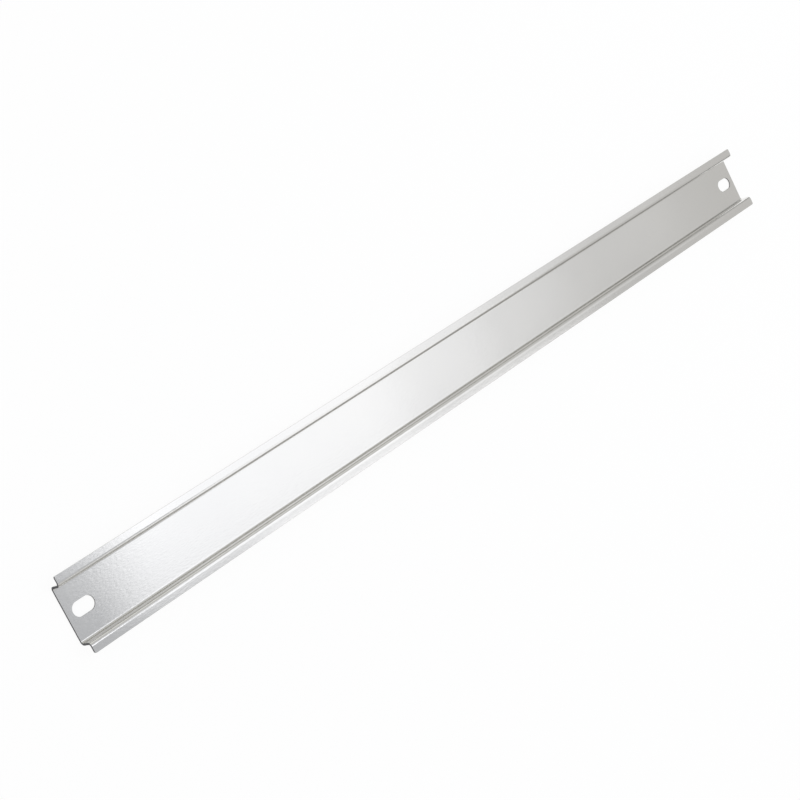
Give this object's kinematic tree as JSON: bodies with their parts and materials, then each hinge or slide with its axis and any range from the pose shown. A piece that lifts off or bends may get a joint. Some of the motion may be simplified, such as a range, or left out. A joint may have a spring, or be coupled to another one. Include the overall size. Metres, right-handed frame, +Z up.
{
  "type": "din rail",
  "caption": "Top-hat mounting rail of roll-formed zinc-plated sheet, open side up, with an obround fixing slot near each end.",
  "frame": {"origin": "middle of the rail's length, on the underside of the web", "axes": "+X along the rail, +Y across it, +Z up out of the channel's open side"},
  "size_m": [0.495, 0.035, 0.0075],
  "materials": {
    "zinc_steel": "zinc-plated sheet, satin, with bare sheared edges"
  },
  "bodies": {
    "root": {"rail": "zinc_steel"}
  },
  "joints": []
}
